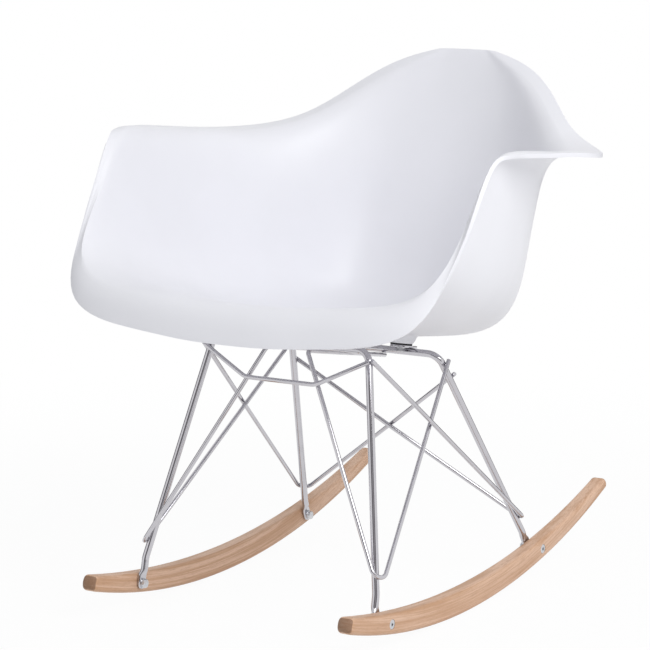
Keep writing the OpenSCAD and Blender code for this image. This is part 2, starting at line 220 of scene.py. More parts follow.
# baseColor becomes "Base Color"
def spoken(key):
    words = "".join(" " + letter if letter.isupper() else letter for letter in key).split()
    return " ".join(word.capitalize() for word in words)


# in every look, noise scales are per metre and depths are millimetres
def mouldedPlastic():
    look = {"lit": (0.875, 0.875, 0.915), "dull": (0.855, 0.855, 0.893), "roughness": 0.36,
            "flow": 7, "grain": 1400, "scuff": 60, "wave": 18, "grainDepth": 0.06, "waveDepth": 0.5}
    material, sheet, place = startMaterial("mouldedPlastic")
    flow = place.noise(look["flow"], 3).rise(0.35, 0.7)
    grain = place.noise(look["grain"], 2)
    scuff = place.noise(look["scuff"], 5, 0.7).rise(0.62, 0.8)
    wave = sheet.bumped(place.noise(look["wave"], 2), look["waveDepth"] * mm)
    endMaterial(sheet, baseColor=flow.between(look["lit"], look["dull"]),
                roughness=look["roughness"] + flow * 0.05 + grain * 0.06 + scuff * 0.05,
                normal=sheet.bumped(grain, look["grainDepth"] * mm, wave))
    return material


def chromedSteel(name, roughness):
    look = {"bright": (0.56, 0.55, 0.58), "dimming": 0.93, "cloud": 45, "haze": 900,
            "scratch": (1400, 1400, 60), "hazeDepth": 0.004}
    material, sheet, place = startMaterial(name)
    cloud = place.noise(look["cloud"], 3).rise(0.4, 0.75)
    haze = place.noise(look["haze"], 2)
    scratch = place.stretched(look["scratch"]).noise(1, 2).rise(0.6, 0.7)
    dim = tuple(shade * look["dimming"] for shade in look["bright"])
    endMaterial(sheet, baseColor=cloud.between(look["bright"], dim), metallic=1.0,
                roughness=roughness + cloud * 0.03 + scratch * 0.02,
                normal=sheet.bumped(haze, look["hazeDepth"] * mm))
    return material


# clouds between two shades, with a fine grain; clouds are the noise's scale, detail and roughness
def plainFinish(name, look):
    material, sheet, place = startMaterial(name)
    clouds = place.noise(*look["clouds"])
    shade = clouds.rise(*look["edges"]) if "edges" in look else clouds
    grain = place.noise(look["grain"], 2)
    endMaterial(sheet, baseColor=shade.between(look["dark"], look["pale"]), metallic=look["metallic"],
                roughness=look["roughness"] + clouds * look["spread"],
                normal=sheet.bumped(grain, look["depth"] * mm))
    return material


def zincedSteel():
    look = {"dark": (0.56, 0.57, 0.6), "pale": (0.7, 0.7, 0.71), "metallic": 1.0, "roughness": 0.24,
            "spread": 0.18, "clouds": (350, 4, 0.6), "edges": (0.3, 0.7), "grain": 2600, "depth": 0.02}
    return plainFinish("zincedSteel", look)


def blackRubber():
    look = {"dark": (0.016, 0.016, 0.017), "pale": (0.045, 0.044, 0.043), "metallic": 0.0, "roughness": 0.62,
            "spread": 0.2, "clouds": (240, 4, 0.65), "edges": (0.45, 0.8), "grain": 1600, "depth": 0.08}
    return plainFinish("blackRubber", look)


def turnedBrass():
    look = {"dark": (0.62, 0.44, 0.17), "pale": (0.75, 0.56, 0.26), "metallic": 1.0, "roughness": 0.25,
            "spread": 0.15, "clouds": (300, 3, 0.5), "grain": 2400, "depth": 0.02}
    return plainFinish("turnedBrass", look)


# the grain follows the arc of the rockers, and shows its ends where the surface faces along it: darker end
# grain, made deeper with painted shade
def lacqueredWood():
    look = {"pale": (0.76, 0.51, 0.36), "tan": (0.58, 0.34, 0.2), "vein": (0.44, 0.235, 0.13),
            "end": (0.19, 0.1, 0.055), "bend": (5, 30, 22), "ring": (3.2, 260, 90),
            "fibre": (30, 1300, 1100), "pore": (110, 2300, 1900), "endDots": 1500, "depth": 0.08}
    material, sheet, place = startMaterial("lacqueredWood")
    run, lowest = rockerSizes["runRadius"] * mm, rockerSizes["lowest"] * mm
    spread = place.vectorMaths("SUBTRACT", (0, lowest, run))
    level = spread.vectorMaths("MULTIPLY", (0, 1, 1))
    radius = level.vectorMaths("LENGTH", output="Value")
    side, y, z = (sheet.node("ShaderNodeSeparateXYZ", None, {0: spread}, output=axis) for axis in "XYZ")
    arc = y.maths("ARCTAN2", y, 0 - z) * run
    grain = sheet.node("ShaderNodeCombineXYZ", None, {0: arc, 1: radius, 2: side})
    faced = sheet.node("ShaderNodeNewGeometry", output="Normal")
    ahead = level.vectorMaths("CROSS_PRODUCT", (1, 0, 0)).vectorMaths("NORMALIZE")
    facing = ahead.vectorMaths("DOT_PRODUCT", faced, output="Value")
    endGrainAndShade = facing.maths("ABSOLUTE", facing).rise(0.5, 0.62)
    bend = grain.stretched(look["bend"]).noise(1, 2)
    rings = grain.stretched(look["ring"]).noise(1, 4, 0.6, 0.5)
    fibres = grain.stretched(look["fibre"]).noise(1, 3, 0.65)
    pores = grain.stretched(look["pore"]).noise(1, 1).rise(0.6, 0.68)
    bands = (rings * 0.8 + bend * 0.35).rise(0.47, 0.68)
    tone = bands.between(look["pale"], look["tan"])
    tone = (fibres.rise(0.48, 0.7) * 0.5).between(tone, look["vein"])
    tone = (pores * 0.45).between(tone, look["vein"])
    # faces along the grain take the end colour: darker end grain, made deeper with painted shade
    tone = (endGrainAndShade * (0.55 + place.noise(look["endDots"], 2) * 0.4)).between(tone, look["end"])
    relief = fibres * 0.6 + rings * 0.4
    endMaterial(sheet, baseColor=tone, roughness=0.42 + fibres * 0.12 + endGrainAndShade * 0.15,
                normal=sheet.bumped(relief, look["depth"] * mm))
    return material


finishes = {
    "shell": mouldedPlastic(),
    "chrome_rod": chromedSteel("chromedRod", 0.07),
    "chrome_plate": chromedSteel("chromedPlate", 0.13),
    "wood": lacqueredWood(),
    "rubber_pad": blackRubber(),
    "brass_insert": turnedBrass(),
    "zinc": zincedSteel(),
}
print("stage: finishes are ready")


def clearSelection():
    if bpy.context.mode != "OBJECT":
        bpy.ops.object.mode_set(mode="OBJECT")
    bpy.ops.object.select_all(action="DESELECT")


# the primitive that was just added becomes a named piece in edit mode
def openPiece(name):
    piece = bpy.context.object
    piece.name = name
    piece.data.name = name
    bpy.ops.object.transform_apply()
    bpy.ops.object.mode_set(mode="EDIT")
    return piece


# selects the vertices, edges or faces for which test is true
def choose(piece, kind, test):
    bpy.ops.mesh.select_mode(type=kind)
    bpy.ops.mesh.select_all(action="DESELECT")
    mesh = bmesh.from_edit_mesh(piece.data)
    parts = {"VERT": mesh.verts, "EDGE": mesh.edges, "FACE": mesh.faces}[kind]
    for part in filter(test, parts):
        part.select_set(True)
    mesh.select_flush_mode()
    bmesh.update_edit_mesh(piece.data)


def chooseAll():
    bpy.ops.mesh.select_all(action="SELECT")


# moves each vertex to the place that a rule gives for it
def shapeBy(piece, rule, onlySelected=False):
    mesh = bmesh.from_edit_mesh(piece.data)
    for vertex in mesh.verts:
        if vertex.select or not onlySelected:
            vertex.co = rule(vertex.co)
    bmesh.update_edit_mesh(piece.data)


def mergeAndFaceOut():
    chooseAll()
    bpy.ops.mesh.remove_doubles(threshold=0.00001)
    bpy.ops.mesh.normals_make_consistent()


def closeEnds():
    bpy.ops.mesh.select_mode(type="EDGE")
    bpy.ops.mesh.select_all(action="DESELECT")
    bpy.ops.mesh.select_non_manifold()
    bpy.ops.mesh.fill_holes(sides=0)


def addModifier(piece, kind, **settings):
    modifier = piece.modifiers.new(kind.lower(), kind)
    for key, value in settings.items():
        setattr(modifier, key, value)


def applyModifiers(piece):
    clearSelection()
    piece.select_set(True)
    bpy.context.view_layer.objects.active = piece
    for modifier in list(piece.modifiers):
        bpy.ops.object.modifier_apply(modifier=modifier.name)


def roundEdges(piece, width, segments, angle):
    addModifier(piece, "BEVEL", width=width * mm, segments=segments, limit_method="ANGLE",
                angle_limit=math.radians(angle))


# shades a piece and hands it to the frame
def finishPiece(piece, slotName, *nodes, angle=32):
    applyModifiers(piece)
    bpy.ops.object.transform_apply()
    bpy.ops.object.shade_smooth_by_angle(angle=math.radians(angle), keep_sharp_edges=False)
    piece.data.materials.clear()
    piece.data.materials.append(finishes[slotName])
    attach(piece, "root")
    if nodes:
        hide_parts(*nodes)
    clearSelection()
    return piece


# a copy with its own mesh, put in place by a matrix
def copyPiece(piece, name, place):
    clearSelection()
    twin = piece.copy()
    twin.data = piece.data.copy()
    twin.name = name
    twin.data.name = name
    bpy.context.scene.collection.objects.link(twin)
    twin.data.transform(place)
    if place.determinant() < 0:
        twin.data.flip_normals()
    return twin


# the upper back is eased, the edge is spread evenly above a height, and the fronts of the arms curl;
# fade is how far it takes the last two to reach their full strength
shellSizes = {
    "wall": 5,
    "edgeRound": 2.3,
    "edgeAngle": 55,
    "roll": 64,
    "rollShare": 0.26,
    "cornerShare": 0.6,
    "easedAbove": 480,
    "easedBehind": 90,
    "easings": 12,
    "lip": 1,
    "edgeRings": 7,
    "evenAbove": 390,
    "curl": 4.5,
    "curlWay": (0.8, 0, -0.6),
    "curlReach": 22,
    "curlAbove": 440,
    "curlAhead": -20,
    "fade": 50,
    # seat line y, z; crest of the side y, z; half width of the side; rim x, y, z;
    # how far the foot of the side stands in; reach of its lower corner; dish; set-back of the front edge
    "stations": [
        (-302, 354, -150, 577, 263, 283, -106, 576, 8, 130, 9, 6),
        (-296, 402, -135, 580, 259, 294, -82, 576, 8, 130, 8, 5),
        (-240, 396, -97, 576, 257, 304, -43, 571, 10, 130, 8, 4),
        (-130, 356, -45, 570, 254, 310, 0, 566, 16, 140, 8, 3),
        (-10, 328, 12, 565, 247, 310, 38, 562, 34, 160, 8, 0),
        (100, 304, 62, 560, 226, 300, 80, 557, 53, 180, 6, 0),
        (195, 312, 115, 557, 195, 270, 130, 554, 72, 180, 4, 0),
        (229, 425, 167, 558, 171, 234, 174, 557, 64, 60, 8, 0),
        (245, 515, 200, 572, 150, 190, 204, 570, 58, 40, 8, 0),
        (268, 590, 245, 607, 121, 151, 246, 605, 46, 20, 4, 0),
        (284, 638, 275, 641, 84, 105, 276, 640, 26, 10, 2, 0),
        (289, 657, 287, 657, 34, 44, 287, 657, 8, 30, 0, 0),
    ],
}


# nine control points, from the middle of the seat up the side and out to the rim
def shellRow(station):
    seatY, seatZ, crestY, crestZ, side, rimX, rimY, rimZ, inset, corner, dish, setBack = station
    seat, crest, rim = Vector((0, seatY, seatZ)), Vector((0, crestY, crestZ)), Vector((rimX, rimY, rimZ))
    height, up = (crest - seat).length, (crest - seat).normalized()
    x, back = Vector((1, 0, 0)), Vector((0, setBack, 0))
    foot = side - inset
    reach = min(corner, shellSizes["cornerShare"] * foot)
    roll = min(shellSizes["roll"], shellSizes["rollShare"] * height)
    out = rim - crest - side * x
    return [
        seat,
        seat + x * 0.5 * (foot - reach),
        seat + x * (foot - reach) + up * dish,      # the lower corner starts
        seat + x * foot + up * 2 * dish,
        seat + x * (side - 0.6 * inset) + up * min(corner, 0.5 * height) + back,    # and ends
        seat + x * (side - 0.25 * inset) + up * (height - roll) + 0.4 * back,       # the wall turns outward
        crest + x * side,
        crest + x * side + Vector((0.45 * out.x, 0.45 * out.y, 0.3 * out.z)),
        rim,
    ]


# 0 where a size is below its start, 1 a fade further on
def fadeIn(size, start):
    return min(1, max(0, (size - start) / shellSizes["fade"]))


# the edge moves out a little, then the rings next to it are spread evenly along each line of the grid
def spreadEdge(mesh):
    pushes = {}
    for vertex in mesh.verts:
        if vertex.is_boundary:
            inner = [edge.other_vert(vertex) for edge in vertex.link_edges if not edge.is_boundary]
            if inner:
                pushes[vertex] = (vertex.co - inner[0].co).normalized() * shellSizes["lip"] * mm
    for vertex, push in pushes.items():
        vertex.co += push
    spread = {}
    for vertex in pushes:
        chain, last = [vertex], vertex
        step = next(edge for edge in vertex.link_edges if not edge.is_boundary)
        while step and len(chain) < shellSizes["edgeRings"] + 2:
            last = step.other_vert(last)
            chain.append(last)
            passed = set(step.link_faces)
            step = next((edge for edge in last.link_edges if not set(edge.link_faces) & passed), None)
        for index in range(1, len(chain) - 1):
            spot = chain[0].co.lerp(chain[-1].co, index / (len(chain) - 1))
            spread.setdefault(chain[index], []).append(spot)
    for vertex, spots in spread.items():
        share = fadeIn(vertex.co.z / mm, shellSizes["evenAbove"])
        vertex.co = vertex.co.lerp(sum(spots, Vector()) / len(spots), share)


# the front edges of the arms curl outward
def curlArms(mesh):
    rim = [vertex for vertex in mesh.verts if vertex.is_boundary]
    rimTree = kdtree.KDTree(len(rim))
    for index, vertex in enumerate(rim):
        rimTree.insert(vertex.co, index)
    rimTree.balance()
    wayX, wayY, wayZ = shellSizes["curlWay"]
    curls = {}
    for vertex in mesh.verts:
        near = max(0, 1 - rimTree.find(vertex.co)[2] / (shellSizes["curlReach"] * mm))
        high = fadeIn(vertex.co.z / mm, shellSizes["curlAbove"])
        ahead = fadeIn(-vertex.co.y / mm, -shellSizes["curlAhead"])
        share = near ** 2 * high * ahead
        way = Vector((math.copysign(wayX, vertex.co.x), wayY, wayZ))
        curls[vertex] = way * share * shellSizes["curl"] * mm
    for vertex, curl in curls.items():
        vertex.co += curl


# a grid of control points is subdivided, shaped in between, and given its wall
def buildShell():
    rows = [shellRow(station) for station in shellSizes["stations"]]
    rowCount, reach = len(rows) - 1, len(rows[0]) - 1
    clearSelection()
    bpy.ops.mesh.primitive_grid_add(x_subdivisions=2 * reach, y_subdivisions=rowCount, size=2)
    shell = openPiece("bucketShell")

    def ontoStations(co):
        row, column = round((co.y + 1) / 2 * rowCount), round(co.x * reach)
        spot = rows[row][abs(column)]
        return Vector((math.copysign(spot.x, column) if column else 0, spot.y, spot.z)) * mm

    def onUpperBack(vertex):
        return (not vertex.is_boundary and vertex.co.z > shellSizes["easedAbove"] * mm
                and vertex.co.y > shellSizes["easedBehind"] * mm)

    shapeBy(shell, ontoStations)
    addModifier(shell, "SUBSURF", levels=1, render_levels=1, boundary_smooth="ALL")
    applyModifiers(shell)
    bpy.ops.object.mode_set(mode="EDIT")
    choose(shell, "VERT", onUpperBack)
    bpy.ops.mesh.vertices_smooth(factor=0.5, repeat=shellSizes["easings"])
    clearSelection()
    addModifier(shell, "SUBSURF", levels=2, render_levels=2, boundary_smooth="ALL")
    applyModifiers(shell)
    bpy.ops.object.mode_set(mode="EDIT")
    mesh = bmesh.from_edit_mesh(shell.data)
    spreadEdge(mesh)
    curlArms(mesh)
    bmesh.update_edit_mesh(shell.data)
    clearSelection()
    addModifier(shell, "SOLIDIFY", thickness=shellSizes["wall"] * mm, offset=-1, use_even_offset=False)
    roundEdges(shell, shellSizes["edgeRound"], 4, shellSizes["edgeAngle"])
    return finishPiece(shell, "shell", "seat_shell", angle=60)


shell = buildShell()
print("stage: shell", len(shell.data.polygons), "faces")


# wire base: two bent leg rods, two pairs of braces, a cross wire and the places where they touch
right, back = Vector((1, 0, 0)), Vector((0, 1, 0))


def runHeight(y):
    radius = rockerSizes["runRadius"]
    return radius - math.sqrt(radius ** 2 - (y - rockerSizes["lowest"]) ** 2)


def topHeight(y):
    radius = rockerSizes["topRadius"]
    return rockerSizes["height"] + radius - math.sqrt(radius ** 2 - (y - rockerSizes["lowest"]) ** 2)


innerFace = rockerSizes["span"] / 2 - rockerSizes["thick"]
legX = innerFace - frameSizes["rod"] / 2 - frameSizes["seam"]


def barMiddle(end):
    return Vector((0, *frameSizes[end + "Bar"]))


def knee(end):
    return Vector((legX, *frameSizes[end + "Knee"]))


def barCorner(end):
    return barMiddle(end) + right * frameSizes[end + "BarWidth"] / 2


def bolt(end):
    y = frameSizes[end + "Bolt"]
    return Vector((legX, y, (runHeight(y) + topHeight(y)) / 2))


def footAlong(end):
    return (knee(end) - bolt(end)).normalized()


def legAlong(end):
    return (barCorner(end) - knee(end)).normalized()


def atHeight(place, along, z):
    return place + along * (z - place.z) / along.z


def onLeg(end, z):
    return atHeight(knee(end), legAlong(end), z)


def mirrored(place):
    return Vector((-place.x, place.y, place.z))


# a place beside another, square to two directions and on the side of a third
def beside(place, first, second, side, distance):
    square = first.cross(second).normalized()
    return place + square * math.copysign(distance, square.dot(side))


# the corner whose rounding has its middle at a given place
def cornerFor(start, end, middle, bend, guess):
    for _ in range(9):
        u, v = (start - guess).normalized(), (end - guess).normalized()
        guess = middle - (u + v).normalized() * bend * (1 / math.sin(u.angle(v) / 2) - 1)
    return guess


# the place on line ab that is nearest to line cd
def crossing(a, b, c, d):
    u, v = b - a, d - c
    square = u.cross(v)
    return a + u * (c - a).cross(v).dot(square) / square.dot(square)


legTouch = (frameSizes["rod"] + frameSizes["wire"]) / 2 + frameSizes["seam"]
wireTouch = frameSizes["wire"] + frameSizes["seam"]
slope = (barMiddle("rear") - barMiddle("front")).normalized()
squareUp = right.cross(slope)
overrun, crossGap = frameSizes["overrun"], frameSizes["crossGap"]
firstGuess = Vector((0, 0, frameSizes["firstGuess"]))


# where a wire that comes from one place and goes on to another turns beside a leg
def besideTurn(place, along, before, after):
    onward = (after - place).normalized() - (before - place).normalized()
    return beside(place, along, onward, right, legTouch)


# the stringer runs under both bars, down the front leg and back up to the rear leg
def frontBracePath():
    lift = right * frameSizes["stringerGap"] / 2 - squareUp * legTouch
    start = barMiddle("rear") + lift + slope * overrun
    turn = barMiddle("front") + lift - slope * overrun
    low, high = onLeg("front", frameSizes["frontTurn"]), onLeg("rear", frameSizes["stringerTop"])
    touch = beside(high, legAlong("rear"), high - low, right, legTouch)
    middle = besideTurn(low, legAlong("front"), turn, touch)
    corner = cornerFor(turn, touch, middle, frameSizes["wireBend"], middle - firstGuess)
    return [start, turn, corner, touch + (touch - corner).normalized() * overrun]


# the rear brace runs from the front leg round the rear leg and across to the other rear leg
def rearBracePath(side):
    front = frontBracePath()
    high, low = onLeg("front", frameSizes["braceTop"]), onLeg("rear", frameSizes["rearTurn"])
    touch = beside(high, legAlong("front"), low - high, right, legTouch)
    far = mirrored(onLeg("rear", frameSizes["crossTop"]))
    farTouch = beside(far, mirrored(legAlong("rear")), far - low, back, legTouch)
    middle = besideTurn(low, legAlong("rear"), touch, farTouch)
    turn = cornerFor(touch, farTouch, middle, frameSizes["wireBend"], middle - firstGuess)
    met = crossing(front[2], front[3], touch, turn)
    sway = beside(met, front[3] - front[2], turn - touch, right, wireTouch + crossGap)
    crossed = turn + (farTouch - turn) * turn.x / (turn.x - farTouch.x)
    return [touch + (touch - sway).normalized() * overrun, sway, turn,
            crossed - side * back * (wireTouch / 2 + crossGap),
            farTouch + (farTouch - crossed).normalized() * overrun]


# the cross wire dips under the two stringers between the front legs
def crossWirePath():
    front = frontBracePath()
    fall = (front[2] - front[1]).normalized()
    dip = beside(atHeight(front[1], fall, frameSizes["dipLow"]), fall, right, -back, wireTouch + crossGap)
    high = onLeg("front", frameSizes["dipTop"])
    touch = beside(high, legAlong("front"), high - dip, -back, legTouch)
    farAway = dip - right * 1000        # the wire runs on level to the other side
    turn = cornerFor(touch, farAway, dip, frameSizes["dipBend"], dip)
    end = touch + (touch - turn).normalized() * overrun / 2
    return [end, turn, mirrored(turn), mirrored(end)]


# turns what is selected about an axis, right-handed; the operator turns left-handed
def spinAbout(centre, axis, angle, steps):
    bpy.ops.mesh.spin(steps=steps, angle=-angle, center=centre * mm, axis=axis)


def pushOut(step):
    bpy.ops.mesh.extrude_region_move(TRANSFORM_OT_translate={"value": step * mm})


# a ring is drawn out along a path and bent at each corner; its ends stay open
def bendRod(name, path, bends, thickness):
    along = (path[1] - path[0]).normalized()
    clearSelection()
    facing = along.to_track_quat("Z", "X").to_euler()
    bpy.ops.mesh.primitive_circle_add(vertices=frameSizes["sides"], radius=thickness / 2 * mm,
                                      location=path[0] * mm, rotation=facing)
    rod = openPiece(name)
    chooseAll()
    spot = path[0]
    for corner, onward, bend in zip(path[1:], path[2:], bends):
        ahead = (onward - corner).normalized()
        turn = along.angle(ahead)
        reach = bend * math.tan(turn / 2)
        bendStart = corner - along * reach
        axis = along.cross(ahead).normalized()
        pushOut(bendStart - spot)
        steps = max(3, round(math.degrees(turn) / frameSizes["bendStep"]))
        spinAbout(bendStart + axis.cross(along) * bend, axis, turn, steps)
        spot, along = corner + ahead * reach, ahead
    pushOut(path[-1] - spot)
    return rod


def closeRod(rod, *nodes):
    closeEnds()
    mergeAndFaceOut()
    clearSelection()
    roundEdges(rod, frameSizes["endRound"], 3, frameSizes["endAngle"])
    return finishPiece(rod, "chrome_rod", *nodes, angle=40)


# selects the open ring round a place
def chooseRing(piece, place, reach):
    choose(piece, "VERT",
           lambda vertex: vertex.is_boundary and (vertex.co - place * mm).length < reach * mm)


# the end of a leg rod is pressed flat against the rocker, with a round tip
def pressFoot(leg, end, side):
    rod, thick = frameSizes["rod"], frameSizes["footThick"]
    start, flat = frameSizes["footRise"], frameSizes["footFlat"]
    wide = math.pi * rod * rod / 4 / thick / rod
    flip = Vector((side, 1, 1))
    along, base = flip * footAlong(end), flip * bolt(end)
    spot, widthNow = base + along * start, 1.0
    chooseRing(leg, spot, rod)
    outShift = side * (rod - thick) / 2
    stops = []
    for share in (0.25, 0.5, 0.75, 1.0):        # the round rod flattens
        smooth = share * share * (3 - 2 * share)
        stops.append((start - (start - flat) * share, 1 + (wide - 1) * smooth, smooth))
    for degrees in (90, 70, 50, 32, 16):        # the tip is round
        angle = math.radians(degrees)
        stops.append((-math.cos(angle) * wide * rod / 2, wide * math.sin(angle), 1.0))
    for rise, width, press in stops:
        goal = base + along * rise + right * outShift * press
        pushOut(goal - spot)
        widening = width / widthNow
        bpy.ops.transform.resize(value=(1, widening, widening), center_override=goal * mm)
        half = (rod / 2 + (thick / 2 - rod / 2) * press) * mm

        def pressed(co, goal=goal, half=half):
            return Vector((goal.x * mm + max(-half, min(half, co.x - goal.x * mm)), co.y, co.z))

        shapeBy(leg, pressed, onlySelected=True)
        spot, widthNow = goal, width


def buildLegs(end, node):
    half = [bolt(end) + footAlong(end) * frameSizes["footRise"], knee(end), barCorner(end)]
    bends = [frameSizes["kneeBend"], frameSizes["barBend"], frameSizes["barBend"], frameSizes["kneeBend"]]
    path = half + [mirrored(place) for place in reversed(half)]
    leg = bendRod(end + "LegRod", path, bends, frameSizes["rod"])
    for side in (1, -1):
        pressFoot(leg, end, side)
    return closeRod(leg, node)


def buildBase():
    wire, wireBend, sway = frameSizes["wire"], frameSizes["wireBend"], frameSizes["swayBend"]
    stringerBend, dipBend = frameSizes["stringerBend"], frameSizes["dipBend"]
    pieces = [buildLegs("front", "front_leg_frame"), buildLegs("rear", "rear_leg_frame")]
    for side, hand in ((1, "left"), (-1, "right")):
        flip = Vector((side, 1, 1))
        front = [flip * place for place in frontBracePath()]
        rear = [flip * place for place in rearBracePath(side)]
        stringer = bendRod(hand + "Stringer", front, [stringerBend, wireBend], wire)
        pieces.append(closeRod(stringer, hand + "_front_brace"))
        brace = bendRod(hand + "RearBrace", rear, [sway, wireBend, sway], wire)
        pieces.append(closeRod(brace, hand + "_rear_brace"))
    pieces.append(closeRod(bendRod("crossWire", crossWirePath(), [dipBend, dipBend], wire), "cross_wire"))
    return pieces


base = buildBase()
print("stage: wire base", sum(len(piece.data.polygons) for piece in base), "faces")


# rockers: a rounded section is spun along the running edge, its top is moved to the top edge, and half of
# each end section is spun over to make the nose; distances are from the middle of the running arc
def topDistance(angle):
    run, top = rockerSizes["runRadius"], rockerSizes["topRadius"]
    rise = top + rockerSizes["height"] - run
    return -rise * math.cos(angle) + math.sqrt(top ** 2 - (rise * math.sin(angle)) ** 2)


# the running edge leaves its arc a little towards the tail
def runDistance(angle):
    share = max(0, angle) / rockerSizes["tailAngle"]
    return rockerSizes["runRadius"] + rockerSizes["tailDrop"] * share ** 2


# middle and half height of the section at an angle
def sectionAt(angle):
    run, top = runDistance(angle), topDistance(angle)
    middle = (run + top) / 2
    return (Vector((0, rockerSizes["lowest"] + middle * math.sin(angle),
                    rockerSizes["runRadius"] - middle * math.cos(angle))), (run - top) / 2)


# the angle of the last section, so that its nose ends at y
def endAngle(y):
    angle = 0.0
    for _ in range(8):
        middle, half = sectionAt(angle)
        short = y - middle.y - math.copysign(half, y)
        angle = math.asin(math.sin(angle) + short / rockerSizes["runRadius"])
    return angle


def buildRocker():
    thick, height, edge = rockerSizes["thick"], rockerSizes["height"], rockerSizes["edge"]
    run, half, hair = rockerSizes["runRadius"], thick / 2, 0.1
    centre = Vector((innerFace + half, rockerSizes["lowest"], run))
    front, rear = (endAngle(y) for y in rockerSizes["ends"])
    start = Vector((centre.x, centre.y, height / 2))
    clearSelection()
    bpy.ops.mesh.primitive_plane_add(size=mm, location=start * mm, rotation=(math.radians(90), 0, 0))
    rocker = openPiece("leftRocker")
    bpy.ops.transform.resize(value=(thick, 1, height), center_override=start * mm)
    bpy.ops.mesh.bevel(offset=edge * mm, segments=rockerSizes["edgeSteps"], affect="VERTICES")
    bpy.ops.mesh.delete(type="ONLY_FACE")
    # the two upright sides are split, so that the section has an upper and a lower half
    choose(rocker, "EDGE", lambda line: line.calc_length() > (height - 2 * edge - 1) * mm)
    bpy.ops.mesh.subdivide(number_cuts=1)
    chooseAll()
    bpy.ops.transform.rotate(value=-front, orient_axis="X", center_override=centre * mm)
    spinAbout(centre, right, rear - front, rockerSizes["steps"])

    def polar(co):
        y, z = co.y / mm - centre.y, centre.z - co.z / mm
        return math.atan2(y, z), run - math.hypot(y, z)

    def ontoTop(co):
        angle, inset = polar(co)
        under = runDistance(angle)
        tall = under - topDistance(angle)
        shrink = min(1, rockerSizes["edgeShare"] * tall / edge)
        if inset > height - edge - hair:
            inset = tall - (height - inset) * shrink
        elif inset < edge + hair:
            inset *= shrink
        else:
            inset = tall / 2
        across = co.x / mm - centre.x
        across = math.copysign(half - (half - abs(across)) * shrink, across)
        return Vector((centre.x + across, centre.y + (under - inset) * math.sin(angle),
                       centre.z - (under - inset) * math.cos(angle))) * mm

    shapeBy(rocker, ontoTop)
    for angle, turn in ((front, math.pi), (rear, -math.pi)):
        middle, tall = sectionAt(angle)

        def onUpperHalf(line, angle=angle, tall=tall):
            spots = [polar(vertex.co) for vertex in line.verts]
            return all(abs(spot[0] - angle) < 0.0001 and spot[1] + runDistance(angle) - run > tall - 0.01
                       for spot in spots)

        choose(rocker, "EDGE", onUpperHalf)
        spinAbout(middle + right * centre.x, right, turn, rockerSizes["noseSteps"])
    mergeAndFaceOut()

    def narrowEnds(co):
        angle = polar(co)[0]
        tall = sectionAt(front if angle < 0 else rear)[1]
        past = min(1, max(front - angle, angle - rear, 0) * run / tall)
        share = math.sqrt(1 - (rockerSizes["noseNarrow"] * past) ** 3)
        return Vector((centre.x * mm + (co.x - centre.x * mm) * share, co.y, co.z))

    shapeBy(rocker, narrowEnds)
    clearSelection()
    play = sleeveSizes["play"]
    bore, sink = sleeveSizes["bodyRadius"] + play, sleeveSizes["headRadius"] + play
    floor = thick - sleeveSizes["headThick"] - play
    for end in ("front", "rear"):
        cutter = turnUp("boltHole", [(bore, -1), (bore, floor), (sink, floor), (sink, thick + 1)])
        cutter.data.transform(boltPlace(1, end))
        cutAway(rocker, cutter)
    return rocker


# frame of a rocker bolt: z = 0 is the inner face of the rocker and +Z points outward
def boltPlace(side, end):
    spot = bolt(end)
    return (Matrix.Translation(Vector((side * innerFace, spot.y, spot.z)) * mm)
            @ Matrix.Rotation(math.radians(side * 90), 4, "Y"))


# frame of a seat mount: z = 0 is the top of the cross bar and +Y points to the middle of the seat
def mountPlace(side, end):
    toMiddle = 1 if end == "front" else -1
    inset = frameSizes["rod"] / 2 + hardwareSizes["washerRadius"] + hardwareSizes["barGap"]
    foot = (right * frameSizes["mountSpread"] / 2 * side + barMiddle(end) + slope * inset * toMiddle
            + squareUp * (frameSizes["rod"] / 2 + frameSizes["seam"]))
    fall = barMiddle("front") - barMiddle("rear")
    tip = -math.atan2(fall.z, -fall.y)
    return (Matrix.Translation(foot * mm) @ Matrix.Rotation(tip, 4, "X")
            @ Matrix.Diagonal(Vector((1, toMiddle, 1, 1))))


hardwareSizes = {
    "headFlats": 10,
    "headTall": 4,
    "topCut": (1.1, 0.75),
    "underCut": (0.45, 0.25),
    "washerRadius": 6,
    "washerThick": 1.2,
    "plateThick": 3,
    "padRadius": 14,
    "plateRound": 0.5,
    "plateAngle": 60,
    "padThick": 2,
    "padRound": 1.1,
    "shaftRadius": 3,
    "play": 0.3,
    "barGap": 1.5,
    "screwGrip": 8,
    "bossRadius": 14.5,
    "bossTop": 17.5,
    "bossRound": 0.8,
    "bossRoot": 1.5,
    "cove": 6,
}
sleeveSizes = {
    "bodyRadius": 4.45,
    "headRadius": 6,
    "headThick": 3,
    "crown": (2.2, 0.05),
    "socketFlats": 4,
    "socketDeep": 2.6,
    "play": 0.15,
}
screwBore = hardwareSizes["shaftRadius"] + hardwareSizes["play"]
roundSides = 56


def hexCorner(flats):
    return flats / math.cos(math.radians(30)) / 2


# a ring is drawn up through a list of radius and height; a list that returns to its start makes a tube
def turnUp(name, profile, sides=48):
    radius, height = profile[0]
    clearSelection()
    bpy.ops.mesh.primitive_circle_add(vertices=sides, radius=radius * mm, location=(0, 0, height * mm))
    piece = openPiece(name)
    chooseAll()
    for nextRadius, nextHeight in profile[1:]:
        pushOut(Vector((0, 0, nextHeight - height)))
        share = nextRadius / radius
        bpy.ops.transform.resize(value=(share, share, 1), center_override=(0, 0, nextHeight * mm))
        radius, height = nextRadius, nextHeight
    mergeAndFaceOut()
    if profile[0] != profile[-1]:
        closeEnds()
        mergeAndFaceOut()
    clearSelection()
    return piece


def cutAway(piece, cutter, operation="DIFFERENCE"):
    addModifier(piece, "BOOLEAN", object=cutter, operation=operation, solver="EXACT")
    applyModifiers(piece)
    bpy.data.objects.remove(cutter)


